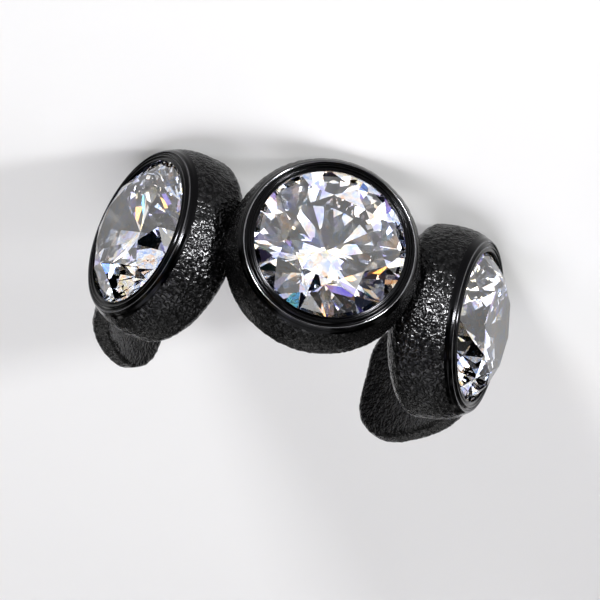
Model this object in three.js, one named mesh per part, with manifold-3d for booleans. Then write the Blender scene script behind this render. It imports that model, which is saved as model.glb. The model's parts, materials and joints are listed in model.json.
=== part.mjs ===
// Ear cuff: three round stones in barrel-shaped cups, soldered side by side on an open springy band.
//
// Millimetres, +Z up. The cuff lies on its side, as it rests on a table: the band's axis is
// vertical, the centre stone faces -Y and the mouth that slips over the ear faces +Y. The origin
// is under the middle of the object, on the surface that the cups lie on.

import * as THREE from 'three';
import { ConvexGeometry } from 'three/addons/geometries/ConvexGeometry.js';
import { mergeVertices } from 'three/addons/utils/BufferGeometryUtils.js';
import Module from 'manifold-3d';

// Cups. Heights in a cup are measured outwards from its rim plane, along the cup's own axis.
const RIM_FROM_BAND_AXIS = 7.68;
const CUP_SPREAD_DEG = 66;
const CUP_RADIUS = 3.97;
const RIM_RADIUS = 3.63;
const LIP_RADIUS = 3.42;
const LIP_HEIGHT = 0.22;
const SHOULDER_BULGE_HEIGHT = 0.15;
const BELLY_TOP = -1.35;
const BELLY_BOTTOM = -1.95;
const FLANK_BULGE_HEIGHT = -0.5;
const BACK_HEIGHT = -2.95;
const BACK_RADIUS = 2.1;
const FOOT_BULGE = { radius: 3.75, height: -2.65 };
const BACK_HOLE_RADIUS = 1.2;

// Stones: round brilliants, sized from the girdle radius as cutters do.
const STONE_RADIUS = 3.15;
const TABLE_RADIUS = 0.58 * STONE_RADIUS;
const CROWN_HEIGHT = 0.3 * STONE_RADIUS;
const STAR_REACH = 0.5;
const GIRDLE_THICKNESS = 0.12;
const PAVILION_DEPTH = 0.86 * STONE_RADIUS;
const LOWER_HALF_REACH = 0.78;
const GIRDLE_HEIGHT = 0.04;
const MAIN_FACETS = 8;
const STONE_GAP = 0.2;

// Band: a flat strip bent round the ear, its two ends rounded like a tongue. Behind the axis it
// runs on as half an oval, deeper than it is wide.
const BAND_OUTER_RADIUS = 7.85;
const BAND_REAR_DEPTH = 9.2;
const BAND_THICKNESS = 0.8;
const BAND_WIDTH = 5.46;
const BAND_EDGE_RADIUS = 0.2;
const BAND_END_DEG = 143;
const BAND_ROOT_Y = -1.0;
const TONGUE_CORNER_RADIUS = 1.8;

// Fineness of the facets on round surfaces.
const CUP_SIDES = 40;
const BAND_SIDES = 88;
const CURVE_STEPS = 4;
const CORNER_STEPS = 2;

// Cutting blocks, larger than what they cut.
const CUTTER_REACH = 12;
const END_CUTTER_LENGTH = 5.5;
const FRONT_CUTTER_MARGIN = 2;
const BELOW_BACK = 1;
const ABOVE_RIM = 1;

// Corners of a surface that are nearer than this are one corner.
const WELD_DISTANCE = 1e-5;

const BLACKENED_METAL = new THREE.MeshStandardMaterial({ color: 0x1b1b1d, roughness: 0.38, metalness: 1.0 });
const CLEAR_STONE = new THREE.MeshStandardMaterial({ color: 0xf2f4f8, roughness: 0.03, metalness: 0.0 });

const wasm = await Module();
wasm.setup();

// A closed surface as a solid that can be joined and cut.
function toSolid(geometry) {
  const bare = geometry.clone();
  bare.deleteAttribute('normal');
  bare.deleteAttribute('uv');
  const merged = mergeVertices(bare, WELD_DISTANCE);
  return new wasm.Manifold(new wasm.Mesh({
    numProp: 3,
    vertProperties: new Float32Array(merged.attributes.position.array),
    triVerts: new Uint32Array(merged.index.array),
  }));
}

// A solid's surface, with its normals.
function toGeometry(solid) {
  const mesh = solid.getMesh();
  const geometry = new THREE.BufferGeometry();
  geometry.setAttribute('position', new THREE.BufferAttribute(new Float32Array(mesh.vertProperties), 3));
  geometry.setIndex(new THREE.BufferAttribute(new Uint32Array(mesh.triVerts), 1));
  geometry.computeVertexNormals();
  return geometry;
}

// How far a cup is turned about the band's axis: its own +Y then points out through its stone.
function cupTurn(angleDeg) {
  return THREE.MathUtils.degToRad(180 + angleDeg);
}

// Half the outline of a cup's outside, from the middle of its back to the middle of its mouth.
function cupOutline() {
  const outline = new THREE.Path();
  outline.moveTo(0, BACK_HEIGHT);
  outline.lineTo(BACK_RADIUS, BACK_HEIGHT);
  outline.quadraticCurveTo(FOOT_BULGE.radius, FOOT_BULGE.height, CUP_RADIUS, BELLY_BOTTOM);
  outline.lineTo(CUP_RADIUS, BELLY_TOP);
  outline.quadraticCurveTo(CUP_RADIUS, FLANK_BULGE_HEIGHT, RIM_RADIUS, 0);
  outline.quadraticCurveTo(RIM_RADIUS, SHOULDER_BULGE_HEIGHT, LIP_RADIUS, LIP_HEIGHT);
  outline.lineTo(0, LIP_HEIGHT);
  return outline.getPoints(CURVE_STEPS);
}

// Half the outline of the hollow that the stone sits in, with the hole through the cup's back.
function seatOutline() {
  const slope = PAVILION_DEPTH / STONE_RADIUS;
  const drop = STONE_GAP * Math.hypot(1, slope);
  const boreRadius = STONE_RADIUS + STONE_GAP;
  const girdleBottom = GIRDLE_HEIGHT - GIRDLE_THICKNESS;
  const seatHeight = (radius) => girdleBottom - (STONE_RADIUS - radius) * slope - drop;
  const outline = new THREE.Path();
  outline.moveTo(0, BACK_HEIGHT - BELOW_BACK);
  outline.lineTo(BACK_HOLE_RADIUS, BACK_HEIGHT - BELOW_BACK);
  outline.lineTo(BACK_HOLE_RADIUS, seatHeight(BACK_HOLE_RADIUS));
  outline.lineTo(boreRadius, seatHeight(boreRadius));
  outline.lineTo(boreRadius, LIP_HEIGHT + ABOVE_RIM);
  outline.lineTo(0, LIP_HEIGHT + ABOVE_RIM);
  return outline.getPoints();
}

// A turned shape at a cup's place on the ring, as a solid.
function turnedAtCup(outline, angleDeg) {
  const geometry = new THREE.LatheGeometry(outline, CUP_SIDES);
  geometry.translate(0, RIM_FROM_BAND_AXIS, 0);
  geometry.rotateZ(cupTurn(angleDeg));
  return toSolid(geometry);
}

// The whole hoop that the band is cut from: a rounded rectangle swept round +Z.
function bandHoop() {
  const inner = BAND_OUTER_RADIUS - BAND_THICKNESS;
  const half = BAND_WIDTH / 2;
  const corner = BAND_EDGE_RADIUS;
  const section = new THREE.Path();
  section.moveTo(inner + corner, -half);
  section.lineTo(BAND_OUTER_RADIUS - corner, -half);
  section.quadraticCurveTo(BAND_OUTER_RADIUS, -half, BAND_OUTER_RADIUS, -half + corner);
  section.lineTo(BAND_OUTER_RADIUS, half - corner);
  section.quadraticCurveTo(BAND_OUTER_RADIUS, half, BAND_OUTER_RADIUS - corner, half);
  section.lineTo(inner + corner, half);
  section.quadraticCurveTo(inner, half, inner, half - corner);
  section.lineTo(inner, -half + corner);
  section.quadraticCurveTo(inner, -half, inner + corner, -half);
  const geometry = new THREE.LatheGeometry(section.getPoints(CORNER_STEPS), BAND_SIDES);
  geometry.rotateX(Math.PI / 2);
  return toSolid(geometry);
}

// The block that cuts the band off at one end and rounds the two corners that it leaves.
function endCutter(side) {
  const corner = TONGUE_CORNER_RADIUS;
  const straight = BAND_WIDTH / 2 - corner;
  const face = new THREE.Shape();
  face.moveTo(-corner, -CUTTER_REACH);
  face.lineTo(END_CUTTER_LENGTH, -CUTTER_REACH);
  face.lineTo(END_CUTTER_LENGTH, CUTTER_REACH);
  face.lineTo(-corner, CUTTER_REACH);
  face.absarc(-corner, straight, corner, Math.PI / 2, 0, true);
  face.absarc(-corner, -straight, corner, 0, -Math.PI / 2, true);
  const geometry = new THREE.ExtrudeGeometry(face, {
    depth: CUTTER_REACH,
    bevelEnabled: false,
    curveSegments: CURVE_STEPS,
  });
  geometry.rotateX(Math.PI / 2);
  geometry.rotateY(side > 0 ? 0 : Math.PI);
  geometry.rotateZ(side * THREE.MathUtils.degToRad(BAND_END_DEG));
  return toSolid(geometry);
}

// The block that removes the front of the hoop, where the cups take its place.
function frontCutter() {
  const geometry = new THREE.BoxGeometry(2 * CUTTER_REACH, CUTTER_REACH, BAND_WIDTH + FRONT_CUTTER_MARGIN);
  geometry.translate(0, BAND_ROOT_Y - CUTTER_REACH / 2, 0);
  return toSolid(geometry);
}

// Pulls a corner of the round hoop out to the oval, if it lies behind the axis.
function deepen(corner) {
  if (corner[1] > 0) {
    corner[1] *= BAND_REAR_DEPTH / BAND_OUTER_RADIUS;
  }
}

// The band: the hoop with its front and mouth cut out.
function openBand() {
  return bandHoop().subtract(endCutter(-1)).subtract(endCutter(1)).subtract(frontCutter()).warp(deepen);
}

// Band and cups as the one piece that soldering makes of them.
function cuffBody(cupAngles) {
  let body = openBand();
  for (const angle of cupAngles) {
    body = body.add(turnedAtCup(cupOutline(), angle));
  }
  for (const angle of cupAngles) {
    body = body.subtract(turnedAtCup(seatOutline(), angle));
  }
  return toGeometry(body);
}

// A point of the stone, given by its radius, its height above the girdle and its place in turns
// of half a main facet.
function stonePoint(radius, height, halfTurns) {
  const angle = (halfTurns * Math.PI) / MAIN_FACETS;
  return new THREE.Vector3(radius * Math.sin(angle), height, radius * Math.cos(angle));
}

// A round brilliant, its axis along +Y: table, stars, mains and halves above the girdle, mains
// and halves below it.
function brilliant() {
  const half = Math.cos(Math.PI / MAIN_FACETS);
  const tableEdge = TABLE_RADIUS * half;
  const starRadius = tableEdge + STAR_REACH * (STONE_RADIUS - tableEdge);
  const crownRun = STONE_RADIUS - TABLE_RADIUS;
  const starHeight = (CROWN_HEIGHT * (STONE_RADIUS - starRadius * half)) / crownRun;
  const lowerRadius = STONE_RADIUS * (1 - LOWER_HALF_REACH);
  const lowerDepth = PAVILION_DEPTH * (1 - (lowerRadius * half) / STONE_RADIUS);
  const points = [new THREE.Vector3(0, -GIRDLE_THICKNESS - PAVILION_DEPTH, 0)];
  for (let turn = 0; turn < 2 * MAIN_FACETS; turn += 1) {
    points.push(stonePoint(STONE_RADIUS, 0, turn));
    points.push(stonePoint(STONE_RADIUS, -GIRDLE_THICKNESS, turn));
    if (turn % 2 === 0) {
      points.push(stonePoint(TABLE_RADIUS, CROWN_HEIGHT, turn));
    } else {
      points.push(stonePoint(starRadius, starHeight, turn));
      points.push(stonePoint(lowerRadius, -GIRDLE_THICKNESS - lowerDepth, turn));
    }
  }
  return new ConvexGeometry(points);
}

// A stone in its cup.
function stoneInCup(name, angleDeg) {
  const place = new THREE.Group();
  place.rotation.z = cupTurn(angleDeg);
  const stone = new THREE.Mesh(brilliant(), CLEAR_STONE);
  stone.name = name;
  stone.position.y = RIM_FROM_BAND_AXIS + GIRDLE_HEIGHT;
  place.add(stone);
  return place;
}

const STONES = [
  { name: 'stone_left', angle: -CUP_SPREAD_DEG },
  { name: 'stone_centre', angle: 0 },
  { name: 'stone_right', angle: CUP_SPREAD_DEG },
];

const cuff = new THREE.Group();
const body = new THREE.Mesh(cuffBody(STONES.map((stone) => stone.angle)), BLACKENED_METAL);
body.name = 'cuff_body';
cuff.add(body);
for (const { name, angle } of STONES) {
  cuff.add(stoneInCup(name, angle));
}

// The band's axis was at the origin so far: the cuff is moved to stand over it and on Z = 0.
const bounds = new THREE.Box3().setFromObject(cuff, true);
const middle = bounds.getCenter(new THREE.Vector3());
cuff.position.set(-middle.x, -middle.y, -bounds.min.z);

export default cuff;
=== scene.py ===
"""Looks of a three-stone ear cuff: a blackened band and bezel cups, with round brilliant stones.

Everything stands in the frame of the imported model: metres, +Z up, the cuff lying on its side with
its centre stone towards -Y. Sizes inside a class are millimetres, as a jeweller reads them, unless
it says otherwise.
"""

from __future__ import annotations

import json
import logging
import math
from dataclasses import dataclass, field
from enum import Enum
from typing import Callable, ClassVar, Iterable, Sequence

import bmesh
import bpy
from mathutils import Matrix, Vector, noise


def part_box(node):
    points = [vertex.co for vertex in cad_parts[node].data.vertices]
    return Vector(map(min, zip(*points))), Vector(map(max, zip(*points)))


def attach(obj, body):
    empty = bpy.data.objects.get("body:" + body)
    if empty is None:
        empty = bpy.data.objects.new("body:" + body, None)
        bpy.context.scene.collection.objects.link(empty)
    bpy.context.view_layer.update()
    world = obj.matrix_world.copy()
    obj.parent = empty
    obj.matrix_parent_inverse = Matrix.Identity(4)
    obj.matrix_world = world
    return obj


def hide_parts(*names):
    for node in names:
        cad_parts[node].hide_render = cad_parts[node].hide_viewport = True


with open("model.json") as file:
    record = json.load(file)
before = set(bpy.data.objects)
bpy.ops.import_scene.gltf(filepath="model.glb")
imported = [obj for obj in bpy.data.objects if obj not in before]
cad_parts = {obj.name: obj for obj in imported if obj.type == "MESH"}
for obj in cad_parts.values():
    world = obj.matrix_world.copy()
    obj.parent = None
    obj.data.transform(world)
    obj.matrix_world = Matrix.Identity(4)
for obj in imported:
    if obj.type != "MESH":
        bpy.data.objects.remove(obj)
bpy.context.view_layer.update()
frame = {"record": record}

LOG = logging.getLogger("ear_cuff")
MM = 0.001
UP = Vector((0.0, 0.0, 1.0))
Colour = tuple[float, float, float]
Span = tuple[float, float]
Ramp = tuple[tuple[float, Colour], ...]

# Corners of a mesh that are nearer than this are one corner, in millimetres.
WELD = 1e-5

# How far each stone is turned in its cup, in degrees.
STONE_TURN = 12.0

# Without a seed of its own, the grain's wandering would start elsewhere in each run.
GRAIN_SEED = 7


class Slot(Enum):
    """The record's material slots."""

    METAL = "blackened_metal"
    STONE = "clear_stone"


class Side(Enum):
    """A place in the row of cups; its value is the sign of its X."""

    LEFT = -1
    CENTRE = 0
    RIGHT = 1

    @property
    def word(self) -> str:
        """The word for the side in the names of its pieces."""
        return self.name.lower()


class Facet(Enum):
    """The kinds of facet on a round brilliant, in the order that they are ground."""

    MAIN = "main"
    STAR = "star"
    UPPER_HALF = "upper half"
    PAVILION_MAIN = "pavilion main"
    LOWER_HALF = "lower half"


class Change(Enum):
    """How a colour ramp goes from one colour to the next."""

    AT_ONCE = "CONSTANT"
    GRADUAL = "LINEAR"


def direction(azimuth: float, elevation: float) -> Vector:
    """Turns two angles into a direction.

    Args:
        azimuth: degrees round from the front, towards +X.
        elevation: degrees above the table.

    Returns:
        The direction, of length one.
    """
    turn = math.radians(azimuth)
    rise = math.radians(elevation)
    return Vector((math.sin(turn) * math.cos(rise), -math.cos(turn) * math.cos(rise), math.sin(rise)))


# Places, worked out from the frame


@dataclass(frozen=True)
class CupPlace:
    """Where one cup stands on the ring.

    Attributes:
        side: which cup it is.
        back: the middle of its flat back, in millimetres.
        outward: the direction that its stone faces.
    """

    side: Side
    back: Vector
    outward: Vector

    def from_rim(self, cup_depth: float) -> Matrix:
        """The matrix from a cup's own millimetres to those of the whole cuff.

        Args:
            cup_depth: how far the rim stands in front of the back.

        Returns:
            A matrix that puts local +Z along the cup's axis, with the rim's middle at zero.
        """
        across = UP.cross(self.outward)
        turn = Matrix((across, UP, self.outward)).transposed().to_4x4()
        return Matrix.Translation(self.back + self.outward * cup_depth) @ turn


@dataclass(frozen=True)
class RingPlan:
    """The ring that the cups and the band stand on.

    Attributes:
        axis: the point where the band's axis meets the middle plane, in millimetres.
        cups: the cups from left to right.
        cup_radius: half the width of a cup at its belly.
    """

    axis: Vector
    cups: tuple[CupPlace, ...]
    cup_radius: float

    @classmethod
    def from_frame(cls, record: dict) -> RingPlan:
        """Reads the cups' flat backs from the mounts, and their height from the CAD box.

        Args:
            record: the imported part's record.

        Returns:
            The plan.
        """
        low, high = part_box("cuff_body")
        middle = (low.z + high.z) / 2 / MM
        cups = []
        for side in Side:
            mount = next(m for m in record["mounts"] if m["name"] == f"{side.word}_cup_back")
            back = Vector(mount["pos_m"]) / MM
            back.z = middle
            cups.append(CupPlace(side, back, -Vector(mount["axis"])))
        right = cups[-1]
        reach = right.back.x / right.outward.x
        axis = right.back - right.outward * reach
        return cls(axis, tuple(cups), (high.z - low.z) / 2 / MM)

    def spread(self) -> float:
        """The angle between the centre cup and a side cup, in radians."""
        _, centre, right = self.cups
        return centre.outward.angle(right.outward)


# Mesh helpers


class Outline:
    """Half the outline of a turned shape, as radius and height in millimetres."""

    def __init__(self, radius: float, height: float) -> None:
        """Starts the outline at one point."""
        self.points: list[Vector] = [Vector((radius, 0.0, height))]

    def line(self, radius: float, height: float, steps: int = 1) -> None:
        """Goes straight to a point, in a number of equal steps.

        Args:
            radius: the point's radius.
            height: its height.
            steps: how many steps there are.
        """
        start = self.points[-1]
        end = Vector((radius, 0.0, height))
        self.points.extend(start.lerp(end, i / steps) for i in range(1, steps + 1))

    def curve(self, bend: Span, end: Span, steps: int) -> None:
        """Goes to a point along a parabola.

        Args:
            bend: radius and height of the point that the curve leans towards.
            end: radius and height of the point that it reaches.
            steps: how many straight pieces it has.
        """
        start = self.points[-1]
        lean = Vector((bend[0], 0.0, bend[1]))
        stop = Vector((end[0], 0.0, end[1]))
        for i in range(1, steps + 1):
            t = i / steps
            self.points.append(start.lerp(lean, t).lerp(lean.lerp(stop, t), t))


def turned(outline: Outline, sides: int) -> bmesh.types.BMesh:
    """Spins a closed outline round +Z into a ring-shaped solid.

    Args:
        outline: the outline, whose last point joins its first.
        sides: how many sides the turned shape has.

    Returns:
        A new closed bmesh, its faces pointing out.
    """
    bm = bmesh.new()
    verts = [bm.verts.new(p) for p in outline.points]
    edges = [bm.edges.new(pair) for pair in zip(verts, verts[1:] + verts[:1])]
    bmesh.ops.spin(
        bm, geom=verts + edges, cent=(0, 0, 0), axis=(0, 0, 1), dvec=(0, 0, 0),
        angle=math.tau, steps=sides, use_merge=True, use_normal_flip=False, use_duplicate=False,
    )
    bmesh.ops.remove_doubles(bm, verts=bm.verts, dist=WELD)
    bmesh.ops.recalc_face_normals(bm, faces=bm.faces)
    return bm


def all_of(bm: bmesh.types.BMesh) -> list:
    """Every corner, edge and face of a mesh, as the operators want them."""
    return bm.verts[:] + bm.edges[:] + bm.faces[:]


def smoothstep(low: float, high: float, value: float) -> float:
    """0 at low and before it, 1 at high and past it, and a smooth ramp between them."""
    t = min(max((value - low) / (high - low), 0.0), 1.0)
    return t * t * (3 - 2 * t)


def finished_piece(
    bm: bmesh.types.BMesh, name: str, materials: Iterable[bpy.types.Material], smooth: bool
) -> bpy.types.Object:
    """Turns a bmesh in metres into a piece of the scene.

    Args:
        bm: the mesh, which is freed.
        name: the piece's name.
        materials: its materials, in the order of its faces' indices.
        smooth: whether its faces are shaded as one curved surface.

    Returns:
        The new object, at the origin.
    """
    for face in bm.faces:
        face.smooth = smooth
    mesh = bpy.data.meshes.new(name)
    bm.to_mesh(mesh)
    bm.free()
    for material in materials:
        mesh.materials.append(material)
    piece = bpy.data.objects.new(name, mesh)
    bpy.context.scene.collection.objects.link(piece)
    return piece


@dataclass(frozen=True)
class Grain:
    """The fine leathery relief of the cast metal.

    Attributes:
        cell: spacing of its pebbles, in millimetres.
        depth: height from the creases to the crowns.
        steepness: how fast a pebble rises out of its crease.
        wander: how far the creases stray from even spacing, in cells.
        wander_cells: spacing of that straying, in cells.
        swell: height of the broad waves under the pebbles, as a share of the depth.
        swell_cells: spacing of those waves, in cells.
    """

    cell: float = 0.27
    depth: float = 0.03
    steepness: float = 2.4
    wander: float = 0.6
    wander_cells: float = 2.5
    swell: float = 0.5
    swell_cells: float = 4.0

    def height(self, point: Vector) -> float:
        """The relief at a point.

        Args:
            point: the point, in millimetres.

        Returns:
            Its height in millimetres, from about -depth in a crease to about 0 on a crown.
        """
        stray = noise.noise_vector(point / (self.wander_cells * self.cell)) * self.wander
        rise = abs(noise.noise(point / self.cell + stray)) * self.steepness
        wave = noise.noise(point / (self.swell_cells * self.cell))
        return self.depth * (min(rise, 1.0) - 1.0 + self.swell * wave)

    def press(self, bm: bmesh.types.BMesh, share: Callable[[Vector], float]) -> None:
        """Presses the relief into a mesh along its normals.

        Args:
            bm: the mesh, in millimetres.
            share: how much of the relief a point takes, from 0 to 1.
        """
        bm.normal_update()
        moves = [(v, v.normal * self.height(v.co) * share(v.co)) for v in bm.verts]
        for vert, move in moves:
            vert.co += move


# Finishes


class Sheet:
    """A node tree, with short calls to add and join its nodes."""

    # A Mix node's colour sockets, which share their names with its other sockets.
    MIX_FIRST: ClassVar[int] = 6
    MIX_SECOND: ClassVar[int] = 7
    MIX_RESULT: ClassVar[int] = 2

    def __init__(self, tree: bpy.types.NodeTree, shader_kind: str) -> None:
        """Takes over a new node tree.

        Args:
            tree: the tree.
            shader_kind: the type of the shader that it starts with.
        """
        self.tree = tree
        self.shader = next(n for n in tree.nodes if n.type == shader_kind)

    def add(self, kind: str, **settings: object) -> bpy.types.Node:
        """Adds a node.

        Args:
            kind: the node's type, as Blender names it.
            settings: values for its properties.

        Returns:
            The node.
        """
        node = self.tree.nodes.new(kind)
        for key, value in settings.items():
            setattr(node, key, value)
        return node

    def join(self, source: bpy.types.NodeSocket, target: bpy.types.NodeSocket) -> None:
        """Links an output to an input."""
        self.tree.links.new(source, target)

    def math(self, kind: str, *inputs: object) -> bpy.types.NodeSocket:
        """A Math node.

        Args:
            kind: the operation, as Blender names it.
            inputs: sockets or numbers, in order.

        Returns:
            The node's output.
        """
        node = self.add("ShaderNodeMath", operation=kind)
        for target, value in zip(node.inputs, inputs):
            if isinstance(value, bpy.types.NodeSocket):
                self.join(value, target)
            else:
                target.default_value = value
        return node.outputs[0]

    def spread(self, value: bpy.types.NodeSocket, source: Span, target: Span) -> bpy.types.NodeSocket:
        """Moves a value from one range to another.

        Args:
            value: the value.
            source: the range that it has.
            target: the range that it gets.

        Returns:
            The new value, which stays inside its range.
        """
        node = self.add("ShaderNodeMapRange")
        for key, number in zip(("From Min", "From Max", "To Min", "To Max"), source + target):
            node.inputs[key].default_value = number
        self.join(value, node.inputs["Value"])
        return node.outputs["Result"]

    def mix(self, factor: bpy.types.NodeSocket, first: Colour) -> bpy.types.Node:
        """A Mix node for colours.

        Args:
            factor: how much of the second colour there is.
            first: the first colour.

        Returns:
            The node, whose second colour is still to be set.
        """
        node = self.add("ShaderNodeMix", data_type="RGBA")
        self.join(factor, node.inputs["Factor"])
        node.inputs[self.MIX_FIRST].default_value = (*first, 1.0)
        return node

    def ramp(self, source: bpy.types.NodeSocket, stops: Ramp, change: Change) -> bpy.types.NodeSocket:
        """A colour ramp.

        Args:
            source: what chooses the colour, from 0 to 1.
            stops: where each colour stands, and the colour.
            change: how it goes from one to the next.

        Returns:
            The ramp's colour.
        """
        node = self.add("ShaderNodeValToRGB")
        node.color_ramp.interpolation = change.value
        elements = node.color_ramp.elements
        elements.remove(elements[1])
        position, colour = stops[0]
        elements[0].position = position
        elements[0].color = (*colour, 1.0)
        for position, colour in stops[1:]:
            elements.new(position).color = (*colour, 1.0)
        self.join(source, node.inputs[0])
        return node.outputs[0]


class SurroundSheet(Sheet):
    """A new world's node tree, with the direction that it is looked at in."""

    def __init__(self, name: str) -> None:
        """Makes the world.

        Args:
            name: the world's name.
        """
        self.world = bpy.data.worlds.new(name)
        self.world.use_nodes = True
        super().__init__(self.world.node_tree, "BACKGROUND")
        self.direction = self.add("ShaderNodeTexCoord").outputs["Generated"]


class FinishSheet(Sheet):
    """A new material's node tree, with its Principled shader and object coordinates."""

    # Where nearly all the values of a soft noise lie.
    NOISE_SPAN: ClassVar[Span] = (0.3, 0.7)

    def __init__(self, name: str) -> None:
        """Makes the material.

        Args:
            name: the material's name.
        """
        self.material = bpy.data.materials.new(name)
        self.material.use_nodes = True
        super().__init__(self.material.node_tree, "BSDF_PRINCIPLED")
        self.place = self.add("ShaderNodeTexCoord").outputs["Object"]

    def fix(self, **values: object) -> None:
        """Sets the shader's own sockets: underscores stand for the spaces in their names."""
        for key, value in values.items():
            self.shader.inputs[key.replace("_", " ")].default_value = value

    def cloud(self, vector: bpy.types.NodeSocket, spacing: float, detail: float) -> bpy.types.NodeSocket:
        """Soft noise.

        Args:
            vector: the point that it is read at, in metres.
            spacing: from one cloud to the next, in metres.
            detail: how many finer layers it has.

        Returns:
            Its value, from 0 to 1.
        """
        node = self.add("ShaderNodeTexNoise")
        node.inputs["Scale"].default_value = 1 / spacing
        node.inputs["Detail"].default_value = detail
        self.join(vector, node.inputs["Vector"])
        return node.outputs["Fac"]

    def between(self, cloud: bpy.types.NodeSocket, low: float, high: float) -> bpy.types.NodeSocket:
        """Spreads a soft noise from one value to another."""
        return self.spread(cloud, self.NOISE_SPAN, (low, high))

    def blend(self, factor: bpy.types.NodeSocket, first: Colour, second: Colour) -> bpy.types.NodeSocket:
        """Mixes two colours.

        Args:
            factor: how much of the second there is.
            first: the first colour.
            second: the second colour.

        Returns:
            The mixed colour.
        """
        node = self.mix(factor, first)
        node.inputs[self.MIX_SECOND].default_value = (*second, 1.0)
        return node.outputs[self.MIX_RESULT]

    def bump(self, height: bpy.types.NodeSocket, strength: float, distance: float) -> None:
        """Feeds a height to the shader's normal.

        Args:
            height: the height, from about 0 to 1.
            strength: how much of it is used.
            distance: the height of 1, in metres.
        """
        node = self.add("ShaderNodeBump")
        node.inputs["Strength"].default_value = strength
        node.inputs["Distance"].default_value = distance
        self.join(height, node.inputs["Height"])
        self.join(node.outputs["Normal"], self.shader.inputs["Normal"])


@dataclass(frozen=True)
class GrainedBlack:
    """Black plating over the grained casting: satin, a little shinier where it is worn.

    Attributes:
        deep: the plating's colour in the creases.
        worn: its colour where handling has rubbed it.
        satin: lowest and highest roughness.
        patch: spacing of the worn patches.
        least_wear: how much of the worn colour there is between those patches, as a share of the most.
        wrinkle: spacing of the fine wrinkles.
        wrinkle_steepness: how fast the metal rises out of a wrinkle.
        pore: spacing of the finest pores.
        pore_share: height of the pores, as a share of the wrinkles'.
        relief: depth of the wrinkles.
    """

    deep: Colour = (0.005, 0.005, 0.0052)
    worn: Colour = (0.042, 0.042, 0.043)
    satin: Span = (0.17, 0.3)
    patch: float = 0.8
    least_wear: float = 0.25
    wrinkle: float = 0.23
    wrinkle_steepness: float = 5.0
    pore: float = 0.07
    pore_share: float = 0.5
    relief: float = 0.024

    def material(self) -> bpy.types.Material:
        """Builds the material.

        Returns:
            The material.
        """
        sheet = FinishSheet("grained_black")
        patches = sheet.cloud(sheet.place, self.patch * MM, detail=5.0)
        pores = sheet.cloud(sheet.place, self.pore * MM, detail=2.0)
        wrinkles = sheet.cloud(sheet.place, self.wrinkle * MM, detail=1.0)
        off_crease = sheet.math("ABSOLUTE", sheet.math("SUBTRACT", wrinkles, 0.5))
        rise = sheet.math("MINIMUM", sheet.math("MULTIPLY", off_crease, self.wrinkle_steepness), 1.0)
        lighter_share = sheet.math("MULTIPLY", sheet.between(patches, self.least_wear, 1.0), rise)
        sheet.join(sheet.blend(lighter_share, self.deep, self.worn), sheet.shader.inputs["Base Color"])
        sheet.join(sheet.between(pores, *self.satin), sheet.shader.inputs["Roughness"])
        sheet.fix(Metallic=1.0)
        height = sheet.math("ADD", rise, sheet.math("MULTIPLY", pores, self.pore_share))
        sheet.bump(height, strength=1.0, distance=self.relief * MM)
        return sheet.material


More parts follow.
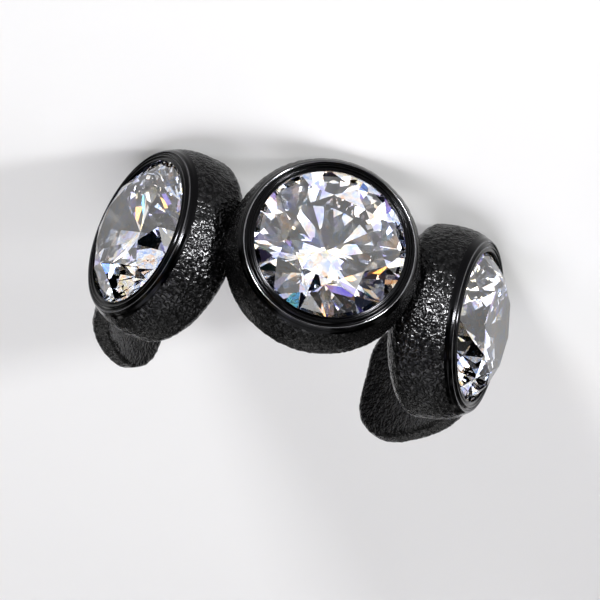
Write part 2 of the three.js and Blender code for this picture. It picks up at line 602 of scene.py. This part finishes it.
@dataclass(frozen=True)
class PolishedBlack:
    """Black plating on a bezel's polished lip, with a painted highlight: a lighter colour along its
    ridge.

    Attributes:
        colour: the plating's colour.
        bare: painted highlight, a lighter colour along the ridge so that the lamps' thin line on it
            shows bright.
        bare_width: half the width of the painted highlight line.
        least_bare: strength of the painted highlight between its patches, as a share of the most.
        tarnish: spacing of the painted highlight's patches.
        gloss: lowest and highest roughness.
        ring: spacing of the burnisher's fine rings.
        ring_along: how fast a ring changes along itself, as a share of how fast it does across.
        ring_depth: depth of the rings.
    """

    colour: Colour = (0.006, 0.006, 0.0065)
    bare: Colour = (0.2, 0.2, 0.21)
    bare_width: float = 0.045
    least_bare: float = 0.5
    tarnish: float = 0.7
    gloss: Span = (0.08, 0.2)
    ring: float = 0.045
    ring_along: float = 0.04
    ring_depth: float = 0.004

    def material(self, cup: BezelCup) -> bpy.types.Material:
        """Builds the material for one cup, whose axis the rings run round.

        Args:
            cup: the cup.

        Returns:
            The material.
        """
        sheet = FinishSheet(f"polished_black_{cup.place.side.word}")
        to_cup = cup.place.from_rim(cup.depth).inverted()
        mapping = sheet.add("ShaderNodeMapping")
        mapping.inputs["Location"].default_value = to_cup.to_translation() * MM
        mapping.inputs["Rotation"].default_value = to_cup.to_euler()
        sheet.join(sheet.place, mapping.inputs["Vector"])
        parts = sheet.add("ShaderNodeSeparateXYZ")
        sheet.join(mapping.outputs["Vector"], parts.inputs[0])
        x, y, height = parts.outputs
        square = sheet.math("ADD", sheet.math("MULTIPLY", x, x), sheet.math("MULTIPLY", y, y))
        radius = sheet.math("SQRT", square)
        rings = self.rings(sheet, radius, x, y)
        ridge, _ = cup.ridge
        # Painted highlight: a lighter colour along the lip's ridge, in patches, so that the lamps' thin
        # line on it shows bright.
        off_ridge = sheet.math("ABSOLUTE", sheet.math("SUBTRACT", radius, ridge * MM))
        line = sheet.math("SUBTRACT", 1.0, sheet.math("DIVIDE", off_ridge, self.bare_width * MM))
        above_rim = sheet.math("GREATER_THAN", height, 0.0)
        highlight_on_lip = sheet.math("MULTIPLY", sheet.math("MAXIMUM", line, 0.0), above_rim)
        tarnish = sheet.cloud(sheet.place, self.tarnish * MM, detail=3.0)
        lighter_share = sheet.math("MULTIPLY", highlight_on_lip, sheet.between(tarnish, self.least_bare, 1.0))
        sheet.join(sheet.blend(lighter_share, self.colour, self.bare), sheet.shader.inputs["Base Color"])
        sheet.join(sheet.between(rings, *self.gloss), sheet.shader.inputs["Roughness"])
        sheet.fix(Metallic=1.0)
        sheet.bump(rings, strength=0.15, distance=self.ring_depth * MM)
        return sheet.material

    def rings(
        self,
        sheet: FinishSheet,
        radius: bpy.types.NodeSocket,
        x: bpy.types.NodeSocket,
        y: bpy.types.NodeSocket,
    ) -> bpy.types.NodeSocket:
        """The burnisher's rings: noise that changes fast with the radius and slowly round it.

        Args:
            sheet: the material's nodes.
            radius: distance from the cup's axis.
            x: the first coordinate across the axis.
            y: the second one.

        Returns:
            The rings' height, from 0 to 1.
        """
        stretched = sheet.add("ShaderNodeCombineXYZ")
        sheet.join(radius, stretched.inputs[0])
        sheet.join(sheet.math("MULTIPLY", x, self.ring_along), stretched.inputs[1])
        sheet.join(sheet.math("MULTIPLY", y, self.ring_along), stretched.inputs[2])
        return sheet.cloud(stretched.outputs[0], self.ring * MM, detail=2.0)


@dataclass(frozen=True)
class CutStone:
    """A clear, strongly refracting stone with painted fire: coloured patches in its body stand in for
    the flashes that dispersion gives.

    Attributes:
        FIRE: the painted fire's colours, by the value of the noise that spreads them.
        bending: its refractive index.
        spread: spacing of the painted fire's colours.
    """

    FIRE: ClassVar[Ramp] = (
        (0.0, (0.70, 0.80, 1.0)),
        (0.35, (0.42, 0.40, 1.0)),
        (0.385, (0.90, 0.94, 1.0)),
        (0.43, (0.22, 0.42, 1.0)),
        (0.455, (0.94, 0.97, 1.0)),
        (0.56, (0.97, 0.98, 1.0)),
        (0.58, (1.0, 0.42, 0.12)),
        (0.60, (1.0, 0.97, 0.92)),
        (0.64, (1.0, 0.80, 0.25)),
        (0.665, (0.96, 0.98, 1.0)),
    )

    bending: float = 2.16
    spread: float = 0.75

    def material(self) -> bpy.types.Material:
        """Builds the material.

        Returns:
            The material.
        """
        sheet = FinishSheet("cut_stone")
        cloud = sheet.cloud(sheet.place, self.spread * MM, detail=2.5)
        # Painted fire: the body's tint, in coloured patches, stands in for the flashes of colour that
        # dispersion gives.
        sheet.join(sheet.ramp(cloud, self.FIRE, Change.GRADUAL), sheet.shader.inputs["Base Color"])
        sheet.fix(Roughness=0.0, IOR=self.bending, Transmission_Weight=1.0)
        return sheet.material


# Sub-assemblies


@dataclass
class BezelCup:
    """A barrel-shaped cup with a grained outside and a polished lip that holds a stone.

    Sizes are millimetres. Heights are measured outwards from the rim, and a pair is a radius and
    a height.

    Attributes:
        place: the cup's place on the ring.
        belly: its widest radius.
        stone_radius: the radius of its stone.
        depth: from its rim to its back.
        back: radius of its flat back.
        back_hole: radius of the hole through its back.
        hole_rounding: how far the hole's edge is rounded.
        foot_bend: the point that the curve from the back to the belly leans towards.
        belly_bottom: where the straight belly starts.
        belly_top: where it ends.
        flank_bend: height of the point that the curve from the belly to the rim leans towards.
        rim: radius where the flank ends and the shoulder starts.
        shoulder_bend: the point that the shoulder leans towards.
        ridge: the outer bead of the lip, along which the polished finish paints a highlight line.
        inner_line: the inner bead.
        lip_inside: the lip's inner edge.
        lip_rounding: how far that edge is rounded.
        bead: half the width of a bead, which is as high.
        bead_bend: the point that a bead's side leans towards, in beads from its middle.
        lip_underside: height of the lip's underside at its edge.
        girdle_groove: highest and lowest height of the groove that holds the stone's girdle.
        stone_play: how much wider the groove is than the stone.
        seat_bottom: height where the seat meets the hole.
        polish_end: height where the polish gives way to the grain.
        polish_play: how far round the stone the seat is polished.
        grain_fade: heights between which the grain grows to its full depth.
        back_fade: radii between which it does so on the back.
        sides: how many sides the turned shape has.
        grain: the relief of its outside.
    """

    place: CupPlace
    belly: float
    stone_radius: float
    depth: float = 2.95
    back: float = 2.1
    back_hole: float = 1.2
    hole_rounding: float = 0.08
    foot_bend: Span = (3.75, -2.65)
    belly_bottom: float = -1.95
    belly_top: float = -1.35
    flank_bend: float = -0.5
    rim: float = 3.63
    shoulder_bend: Span = (3.6, 0.09)
    ridge: Span = (3.5, 0.16)
    inner_line: Span = (3.28, 0.23)
    lip_inside: Span = (3.08, 0.27)
    lip_rounding: float = 0.03
    bead: float = 0.028
    bead_bend: Span = (1.4, 0.6)
    lip_underside: float = 0.12
    girdle_groove: Span = (0.06, -0.12)
    stone_play: float = 0.02
    seat_bottom: float = -1.9
    polish_end: float = -0.1
    polish_play: float = 0.05
    grain_fade: Span = (-0.1, -0.45)
    back_fade: Span = (1.4, 1.9)
    sides: int = 384
    grain: Grain = field(default_factory=Grain)

    def outline(self) -> Outline:
        """The cup's section: back, flank, lip, seat and hole, in that order.

        Returns:
            The outline, closed by the step from its last point to its first.
        """
        shape = Outline(self.back_hole + self.hole_rounding, -self.depth)
        shape.line(self.back, -self.depth, steps=12)
        shape.curve(self.foot_bend, (self.belly, self.belly_bottom), steps=30)
        shape.line(self.belly, self.belly_top, steps=8)
        shape.curve((self.belly, self.flank_bend), (self.rim, 0.0), steps=20)
        self.add_lip(shape)
        self.add_seat(shape)
        shape.points.pop()
        return shape

    def add_lip(self, shape: Outline) -> None:
        """Adds the shoulder, the two beads and the lip's inner edge.

        Args:
            shape: the outline, which has come to the rim.
        """
        ridge, ridge_height = self.ridge
        line, line_height = self.inner_line
        edge, edge_height = self.lip_inside
        shape.curve(self.shoulder_bend, (ridge + 2 * self.bead, ridge_height - self.bead), steps=8)
        self.add_bead(shape, ridge, ridge_height)
        shape.line(line + 2 * self.bead, line_height - self.bead, steps=2)
        self.add_bead(shape, line, line_height)
        shape.line(edge + self.lip_rounding, edge_height, steps=2)
        shape.curve((edge, edge_height), (edge, edge_height - self.lip_rounding), steps=3)
        shape.line(edge, self.lip_underside)

    def add_bead(self, shape: Outline, radius: float, height: float) -> None:
        """Adds a fine bead to the lip, from its outer foot to its inner one.

        Args:
            shape: the outline, which has come to the outer foot.
            radius: the bead's middle.
            height: the height of its middle, half way up.
        """
        aside = self.bead_bend[0] * self.bead
        bend_height = height + self.bead_bend[1] * self.bead
        shape.curve((radius + aside, bend_height), (radius, height + self.bead), steps=4)
        shape.curve((radius - aside, bend_height), (radius - 2 * self.bead, height - self.bead), steps=4)

    def add_seat(self, shape: Outline) -> None:
        """Adds the stone's groove and seat and the hole through the back.

        Args:
            shape: the outline, which has come to the lip's underside.
        """
        groove = self.stone_radius + self.stone_play
        groove_top, groove_bottom = self.girdle_groove
        shape.line(groove, groove_top)
        shape.line(groove, groove_bottom)
        shape.line(self.back_hole, self.seat_bottom)
        shape.line(self.back_hole, -self.depth + self.hole_rounding)
        hole_edge = (self.back_hole + self.hole_rounding, -self.depth)
        shape.curve((self.back_hole, -self.depth), hole_edge, steps=3)

    def grain_share(self, point: Vector) -> float:
        """How much grain a point in the cup's own frame takes: none on the lip and in the seat."""
        radius = math.hypot(point.x, point.y)
        return smoothstep(*self.grain_fade, point.z) * smoothstep(*self.back_fade, radius)

    def is_polished(self, point: Vector) -> bool:
        """Whether a point in the cup's own frame is on the lip or in the seat.

        Args:
            point: the point.

        Returns:
            True where the cup is polished.
        """
        on_lip = point.z > self.polish_end
        near_stone = math.hypot(point.x, point.y) < self.stone_radius + self.polish_play
        return on_lip or (near_stone and point.z > self.seat_bottom - self.polish_play)

    def build(self, grained: bpy.types.Material, polished: bpy.types.Material) -> bpy.types.Object:
        """Makes the cup.

        Args:
            grained: the finish of its outside.
            polished: the finish of its lip and seat.

        Returns:
            The piece.
        """
        bm = turned(self.outline(), self.sides)
        for face in bm.faces:
            face.material_index = 1 if self.is_polished(face.calc_center_median()) else 0
        # Each cup stands elsewhere in the grain's pattern, so no two have the same pebbles.
        offset = self.place.back
        bmesh.ops.translate(bm, verts=bm.verts, vec=offset)
        self.grain.press(bm, lambda co: self.grain_share(co - offset))
        bmesh.ops.translate(bm, verts=bm.verts, vec=-offset)
        to_scene = Matrix.Scale(MM, 4) @ self.place.from_rim(self.depth)
        bmesh.ops.transform(bm, matrix=to_scene, verts=bm.verts)
        piece = finished_piece(bm, f"cup_{self.place.side.word}", (grained, polished), smooth=True)
        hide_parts("cuff_body")
        return piece


@dataclass
class Band:
    """One arm of the open band, from the wall of a side cup to its tongue-shaped end.

    It is a flat bar, rounded at its end and along its edges, then bent. Behind its axis the band
    is half an oval, deeper than it is wide. Sizes are millimetres.

    Attributes:
        plan: the ring that it is part of.
        side: the side that it is on.
        outer: its outer radius.
        rear_depth: how far its outside would reach behind the axis if it ran on.
        thickness: its thickness.
        width: its width, up from the table.
        edge: radius of its rounded edges.
        end_angle_deg: how far round from the centre cup it ends.
        tongue_corner: radius of the two corners of its end.
        root_radius: how far from the side cup's axis it starts, inside that cup's wall.
        slice: thickness of the slices that let it bend.
        corner_segments: how many sides a corner of its end has.
        edge_segments: how many sides a rounded edge has.
        grain: the relief of its surface.
    """

    plan: RingPlan
    side: Side
    outer: float = 7.85
    rear_depth: float = 9.2
    thickness: float = 0.8
    width: float = 5.46
    edge: float = 0.2
    end_angle_deg: float = 143.0
    tongue_corner: float = 1.8
    root_radius: float = 3.3
    slice: float = 0.1
    corner_segments: int = 20
    edge_segments: int = 4
    grain: Grain = field(default_factory=Grain)

    @property
    def middle(self) -> float:
        """The radius that the bar's middle is bent to."""
        return self.outer - self.thickness / 2

    def root_angle(self, height: float) -> float:
        """Where the arm starts at a height, inside the side cup's wall, in radians."""
        sunk = math.sqrt(self.root_radius**2 - height**2)
        return self.plan.spread() + math.asin(sunk / self.middle)

    def round_off(self, bm: bmesh.types.BMesh, edges: list, radius: float, segments: int) -> None:
        """Rounds edges of the bar.

        Args:
            bm: the bar.
            edges: the edges.
            radius: the radius that they get.
            segments: how many sides the rounding has.
        """
        bmesh.ops.bevel(
            bm, geom=edges, offset=radius, offset_type="OFFSET", affect="EDGES",
            segments=segments, profile=0.5, material=-1,
        )

    def bar(self, length: float) -> bmesh.types.BMesh:
        """The straight bar: X through its thickness, Y along it from the root, Z across it.

        Args:
            length: the bar's length.

        Returns:
            A new bmesh.
        """
        bm = bmesh.new()
        bmesh.ops.create_cube(bm, size=1.0)
        bmesh.ops.translate(bm, verts=bm.verts, vec=(0, 0.5, 0))
        bmesh.ops.scale(bm, vec=(self.thickness, length, self.width), verts=bm.verts)
        at_end = [e for e in bm.edges if all(v.co.y > length / 2 for v in e.verts)]
        corners = [e for e in at_end if abs(e.verts[0].co.z - e.verts[1].co.z) < self.edge]
        self.round_off(bm, corners, self.tongue_corner, self.corner_segments)
        off_root = [e for e in bm.edges if any(v.co.y > 0 for v in e.verts)]
        rims = [e for e in off_root if abs(e.verts[0].co.x - e.verts[1].co.x) < self.edge]
        self.round_off(bm, rims, self.edge, self.edge_segments)
        return bm

    def cut_slices(self, bm: bmesh.types.BMesh, axis: Vector, low: float, high: float) -> None:
        """Cuts a mesh into thin slices, so that it can bend and take the grain.

        Args:
            bm: the mesh.
            axis: the direction that the slices are stacked in.
            low: where the first slice starts.
            high: where the last one ends.
        """
        count = round((high - low) / self.slice)
        for i in range(1, count):
            point = axis * (low + (high - low) * i / count)
            bmesh.ops.bisect_plane(bm, geom=all_of(bm), dist=WELD, plane_co=point, plane_no=axis)

    def bent(self, point: Vector, length: float) -> Vector:
        """Where a point of the straight bar comes to lie on the ring.

        Args:
            point: the point.
            length: the bar's length.

        Returns:
            The point in the whole cuff's millimetres.
        """
        start = self.root_angle(point.z)
        end = math.radians(self.end_angle_deg)
        angle = start + (end - start) * point.y / length
        reach = self.middle + point.x
        back = -reach * math.cos(angle)
        if back > 0:
            back *= self.rear_depth / self.outer
        return self.plan.axis + Vector((self.side.value * reach * math.sin(angle), back, point.z))

    def build(self, grained: bpy.types.Material) -> bpy.types.Object:
        """Makes the arm.

        Args:
            grained: its finish.

        Returns:
            The piece.
        """
        length = (math.radians(self.end_angle_deg) - self.root_angle(0.0)) * self.middle
        bm = self.bar(length)
        self.cut_slices(bm, Vector((0, 1, 0)), 0.0, length)
        self.cut_slices(bm, UP, -self.width / 2, self.width / 2)
        for vert in bm.verts:
            vert.co = self.bent(vert.co, length)
        bmesh.ops.recalc_face_normals(bm, faces=bm.faces)
        self.grain.press(bm, lambda co: 1.0)
        bmesh.ops.scale(bm, vec=(MM, MM, MM), verts=bm.verts)
        piece = finished_piece(bm, f"band_{self.side.word}", (grained,), smooth=True)
        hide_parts("cuff_body")
        return piece


@dataclass
class Brilliant:
    """A round brilliant, ground facet by facet from a round blank.

    Heights are measured from the top of the girdle.

    Attributes:
        place: the place of its cup on the ring.
        radius: its girdle's radius, in millimetres.
        cup_depth: how far its cup's rim stands in front of the cup's back, in millimetres.
        turn_deg: how far it is turned in its cup.
        table: radius of the table, as a share of the girdle's.
        crown: height of the crown, as a share of the girdle's radius.
        pavilion: depth of the pavilion, as a share of the same.
        star_reach: how far the stars reach from the table to the girdle.
        lower_reach: how far the lower halves reach from the girdle to the point.
        girdle: thickness of the girdle, in millimetres.
        girdle_height: how far the girdle's top stands above the rim, in millimetres.
        mains: how many main facets the crown has.
        blank_sides: how many sides the blank has.
        kerf: points nearer to a cut than this lie on it, in millimetres.
        weld: corners nearer than this are one corner, in millimetres.
    """

    place: CupPlace
    radius: float
    cup_depth: float
    turn_deg: float
    table: float = 0.58
    crown: float = 0.3
    pavilion: float = 0.86
    star_reach: float = 0.5
    lower_reach: float = 0.78
    girdle: float = 0.12
    girdle_height: float = 0.04
    mains: int = 8
    blank_sides: int = 96
    kerf: float = 1e-6
    weld: float = 1e-4

    def corner(self, radius: float, height: float, half_turns: float) -> Vector:
        """A point of the stone, its place round the axis given in halves of a main facet."""
        angle = half_turns * math.pi / self.mains
        return Vector((radius * math.sin(angle), radius * math.cos(angle), height))

    def facets(self) -> dict[Facet, tuple[Vector, Vector, Vector]]:
        """Works out the first facet of each kind.

        Returns:
            Three corners that fix its plane, for each kind.
        """
        half = math.cos(math.pi / self.mains)
        table_radius = self.table * self.radius
        table_height = self.crown * self.radius
        table_edge = table_radius * half
        star_radius = table_edge + self.star_reach * (self.radius - table_edge)
        star_rise = (self.radius - star_radius * half) / (self.radius - table_radius)
        low_radius = self.radius * (1 - self.lower_reach)
        low_drop = 1 - low_radius * half / self.radius
        low_height = -self.girdle - self.pavilion * self.radius * low_drop
        table = self.corner(table_radius, table_height, 0)
        next_table = self.corner(table_radius, table_height, 2)
        star = self.corner(star_radius, table_height * star_rise, 1)
        upper = self.corner(self.radius, 0.0, 0)
        next_upper = self.corner(self.radius, 0.0, 1)
        under = self.corner(self.radius, -self.girdle, 0)
        next_under = self.corner(self.radius, -self.girdle, 1)
        low = self.corner(low_radius, low_height, 1)
        culet = self.corner(0.0, -self.girdle - self.pavilion * self.radius, 0)
        return {
            Facet.MAIN: (table, star, upper),
            Facet.STAR: (table, next_table, star),
            Facet.UPPER_HALF: (star, upper, next_upper),
            Facet.PAVILION_MAIN: (culet, low, under),
            Facet.LOWER_HALF: (low, under, next_under),
        }

    def planes(self) -> list[tuple[Vector, Vector]]:
        """Works out the plane of every facet.

        Returns:
            A point and an outward normal for each, the table first.
        """
        planes = [(self.corner(0.0, self.crown * self.radius, 0), UP.copy())]
        inside = Vector((0.0, 0.0, -self.girdle))
        mirror = Vector((-1.0, 1.0, 1.0))
        for kind, (a, b, c) in self.facets().items():
            normal = (b - a).cross(c - a).normalized()
            normal *= math.copysign(1.0, normal.dot(a - inside))
            for number in range(self.mains):
                turn = Matrix.Rotation(number * math.tau / self.mains, 3, "Z")
                planes.append((turn @ a, turn @ normal))
                if kind in (Facet.UPPER_HALF, Facet.LOWER_HALF):
                    planes.append((turn @ (a * mirror), turn @ (normal * mirror)))
        return planes

    def grind(self, bm: bmesh.types.BMesh, point: Vector, normal: Vector) -> None:
        """Cuts one facet and closes the stone over the cut.

        Args:
            bm: the stone.
            point: a point of the facet.
            normal: the direction that it faces.
        """
        cut = bmesh.ops.bisect_plane(
            bm, geom=all_of(bm), dist=self.kerf,
            plane_co=point, plane_no=normal, clear_outer=True, clear_inner=False,
        )
        edges = [e for e in cut["geom_cut"] if isinstance(e, bmesh.types.BMEdge)]
        if edges:
            bmesh.ops.holes_fill(bm, edges=edges, sides=0)

    def build(self, finish: bpy.types.Material) -> bpy.types.Object:
        """Grinds the stone and sets it in its cup.

        Args:
            finish: its material.

        Returns:
            The piece.
        """
        bm = bmesh.new()
        bmesh.ops.create_cone(
            bm, cap_ends=True, segments=self.blank_sides,
            radius1=self.radius, radius2=self.radius, depth=2 * self.radius,
        )
        for point, normal in self.planes():
            self.grind(bm, point, normal)
        bmesh.ops.remove_doubles(bm, verts=bm.verts, dist=self.weld)
        bmesh.ops.dissolve_degenerate(bm, dist=self.weld, edges=bm.edges)
        bmesh.ops.recalc_face_normals(bm, faces=bm.faces)
        turn = Matrix.Rotation(math.radians(self.turn_deg), 4, "Z")
        seat = Matrix.Translation((0, 0, self.girdle_height)) @ turn
        to_scene = Matrix.Scale(MM, 4) @ self.place.from_rim(self.cup_depth) @ seat
        bmesh.ops.transform(bm, matrix=to_scene, verts=bm.verts)
        piece = finished_piece(bm, f"cut_stone_{self.place.side.word}", (finish,), smooth=False)
        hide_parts(f"stone_{self.place.side.word}")
        return piece


# Studio


@dataclass(frozen=True)
class Lamp:
    """A square soft lamp aimed at the cuff.

    Attributes:
        name: its name.
        azimuth: degrees round from the front, towards +X.
        elevation: degrees above the table.
        size: metres across.
        power: watts.
        distance: metres from the cuff.
    """

    name: str
    azimuth: float
    elevation: float
    size: float
    power: float
    distance: float = 0.5

    def hang(self, target: Vector) -> None:
        """Adds the lamp to the scene.

        Args:
            target: the point that it shines at.
        """
        data = bpy.data.lights.new(self.name, "AREA")
        data.shape = "SQUARE"
        data.size = self.size
        data.energy = self.power
        lamp = bpy.data.objects.new(self.name, data)
        toward = direction(self.azimuth, self.elevation)
        lamp.location = target + toward * self.distance
        lamp.rotation_euler = toward.to_track_quat("Z", "Y").to_euler()
        bpy.context.scene.collection.objects.link(lamp)


@dataclass
class Studio:
    """A pale table under soft lamps, bright and dark cards all round, and the camera.

    Attributes:
        TINTS: the cards' colours, by the value that chooses one.
        POWERS: their brightness, likewise.
        LAMPS: a broad lamp overhead and two low ones in front.
        target: where the lamps and the camera point.
        azimuth: the camera's place round the cuff, in degrees from the front towards +X.
        elevation: its height, in degrees above the table.
        roll: how far it is turned about its own line of sight, in degrees.
        distance: metres from the target.
        view_width: metres of the scene across the picture.
        shift: how far the picture is moved off the target, in picture widths.
        sensor_width: the camera's sensor, in millimetres.
        clip: nearest and farthest metres that the camera sees.
        table_size: half the table's width, in metres.
        table_shades: darkest and lightest colour of the table.
        table_cloud: spacing of those shades, in metres.
        plain_card: the colour of the cards at the sides and behind.
        cards_scale: how finely the surroundings are divided into cards.
        side_cards: brightness of the cards at the sides and behind, as a share of those in front.
        front: how directly a card faces the cuff's front where its colour and brightness grow.
        camera_side: the same where the cards go dark, round the camera.
        camera_cards: brightness of the cards round the camera, as a share of the others.
    """

    TINTS: ClassVar[Ramp] = (
        (0.0, (1.0, 0.99, 0.97)),
        (0.5, (0.22, 0.38, 1.0)),
        (0.66, (1.0, 0.5, 0.16)),
        (0.75, (0.5, 0.38, 1.0)),
        (0.82, (1.0, 0.8, 0.3)),
        (0.88, (0.25, 0.8, 0.9)),
        (0.93, (1.0, 1.0, 1.0)),
    )
    POWERS: ClassVar[Ramp] = (
        (0.0, (0.01, 0.01, 0.01)),
        (0.52, (0.2, 0.2, 0.2)),
        (0.72, (0.9, 0.9, 0.9)),
        (0.88, (3.2, 3.2, 3.2)),
    )
    LAMPS: ClassVar[tuple[Lamp, ...]] = (
        Lamp(name="overhead", azimuth=0.0, elevation=88.0, size=0.45, power=1.4),
        Lamp(name="front_left", azimuth=-33.0, elevation=5.0, size=0.07, power=8.0),
        Lamp(name="front_right", azimuth=22.0, elevation=5.0, size=0.07, power=8.0),
    )

    target: Vector
    azimuth: float = 6.0
    elevation: float = 19.5
    roll: float = -166.4
    distance: float = 0.42
    view_width: float = 0.0245
    shift: Span = (0.009, 0.0044)
    sensor_width: float = 36.0
    clip: Span = (0.01, 10.0)
    table_size: float = 1.5
    table_shades: tuple[Colour, Colour] = ((0.7, 0.7, 0.7), (0.74, 0.74, 0.74))
    table_cloud: float = 0.05
    plain_card: Colour = (1.0, 0.99, 0.98)
    cards_scale: float = 8.5
    side_cards: float = 0.4
    front: Span = (0.1, 0.4)
    camera_side: Span = (0.86, 0.93)
    camera_cards: float = 0.05

    def table(self) -> None:
        """Lays the table top that the cuff lies on."""
        bm = bmesh.new()
        bmesh.ops.create_grid(bm, x_segments=1, y_segments=1, size=self.table_size)
        sheet = FinishSheet("table_top")
        cloud = sheet.cloud(sheet.place, self.table_cloud, detail=3.0)
        sheet.join(sheet.blend(cloud, *self.table_shades), sheet.shader.inputs["Base Color"])
        sheet.fix(Roughness=0.6)
        floor = finished_piece(bm, "table_top", (sheet.material,), smooth=False)

    def lamps(self) -> None:
        """Hangs the lamps."""
        for lamp in self.LAMPS:
            lamp.hang(self.target)

    def surroundings(self) -> None:
        """Sets a patchwork of cards all round: tinted in front, weaker behind, dark round the camera."""
        sheet = SurroundSheet("studio")
        cards = sheet.add("ShaderNodeTexVoronoi")
        cards.inputs["Scale"].default_value = self.cards_scale
        sheet.join(sheet.direction, cards.inputs["Vector"])
        choices = sheet.add("ShaderNodeSeparateColor")
        sheet.join(cards.outputs["Color"], choices.inputs[0])
        tint_choice, power_choice, _ = choices.outputs
        facing = sheet.add("ShaderNodeVectorMath", operation="DOT_PRODUCT")
        facing.inputs[1].default_value = direction(self.azimuth, self.elevation)
        sheet.join(sheet.direction, facing.inputs[0])
        in_front = sheet.spread(facing.outputs["Value"], self.front, (0.0, 1.0))
        tint = sheet.mix(in_front, self.plain_card)
        sheet.join(sheet.ramp(tint_choice, self.TINTS, Change.AT_ONCE), tint.inputs[sheet.MIX_SECOND])
        sheet.join(tint.outputs[sheet.MIX_RESULT], sheet.shader.inputs["Color"])
        power = sheet.ramp(power_choice, self.POWERS, Change.AT_ONCE)
        camera_share = sheet.spread(facing.outputs["Value"], self.camera_side, (1.0, self.camera_cards))
        side_share = sheet.math("MULTIPLY_ADD", in_front, 1.0 - self.side_cards, self.side_cards)
        level = sheet.math("MULTIPLY", sheet.math("MULTIPLY", power, camera_share), side_share)
        sheet.join(level, sheet.shader.inputs["Strength"])
        bpy.context.scene.world = sheet.world

    @staticmethod
    def light_paths() -> None:
        """Sets plain contrast, and enough bounces for light to find its way out of a stone."""
        scene = bpy.context.scene
        scene.view_settings.view_transform = "Standard"
        scene.cycles.max_bounces = 24
        scene.cycles.transmission_bounces = 20
        scene.cycles.glossy_bounces = 12

    def camera(self) -> None:
        """Stands a long-lens camera before the front of the cuff, rolled."""
        data = bpy.data.cameras.new("camera")
        data.sensor_width = self.sensor_width
        data.lens = self.sensor_width * self.distance / self.view_width
        data.clip_start, data.clip_end = self.clip
        data.shift_x, data.shift_y = self.shift
        camera = bpy.data.objects.new("camera", data)
        toward = direction(self.azimuth, self.elevation)
        camera.location = self.target + toward * self.distance
        roll = Matrix.Rotation(math.radians(self.roll), 4, "Z")
        turn = toward.to_track_quat("Z", "Y").to_matrix().to_4x4() @ roll
        camera.rotation_euler = turn.to_euler()
        bpy.context.scene.collection.objects.link(camera)
        bpy.context.scene.camera = camera


def finish_piece(piece: bpy.types.Object) -> None:
    """Ties a piece to the cuff's one body, and reports it.

    Args:
        piece: the piece.
    """
    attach(piece, "root")
    LOG.info("%s: %d faces", piece.name, len(piece.data.polygons))


def main() -> None:
    """Builds the studio and the cuff's pieces in order."""
    logging.basicConfig(level=logging.INFO, format="%(name)s: %(message)s")
    noise.seed_set(GRAIN_SEED)
    plan = RingPlan.from_frame(frame["record"])
    studio = Studio(target=plan.axis * MM)
    studio.camera()
    studio.table()
    studio.lamps()
    studio.surroundings()
    studio.light_paths()

    stone_low, stone_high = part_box("stone_centre")
    stone_radius = (stone_high.z - stone_low.z) / 2 / MM
    grained = GrainedBlack().material()
    polished = PolishedBlack()
    clear = CutStone().material()
    for place in plan.cups:
        cup = BezelCup(place, plan.cup_radius, stone_radius)
        finish_piece(cup.build(grained, polished.material(cup)))
        stone = Brilliant(place, stone_radius, cup.depth, STONE_TURN)
        finish_piece(stone.build(clear))
    for side in (Side.LEFT, Side.RIGHT):
        finish_piece(Band(plan, side).build(grained))


if __name__ == "__main__":
    main()
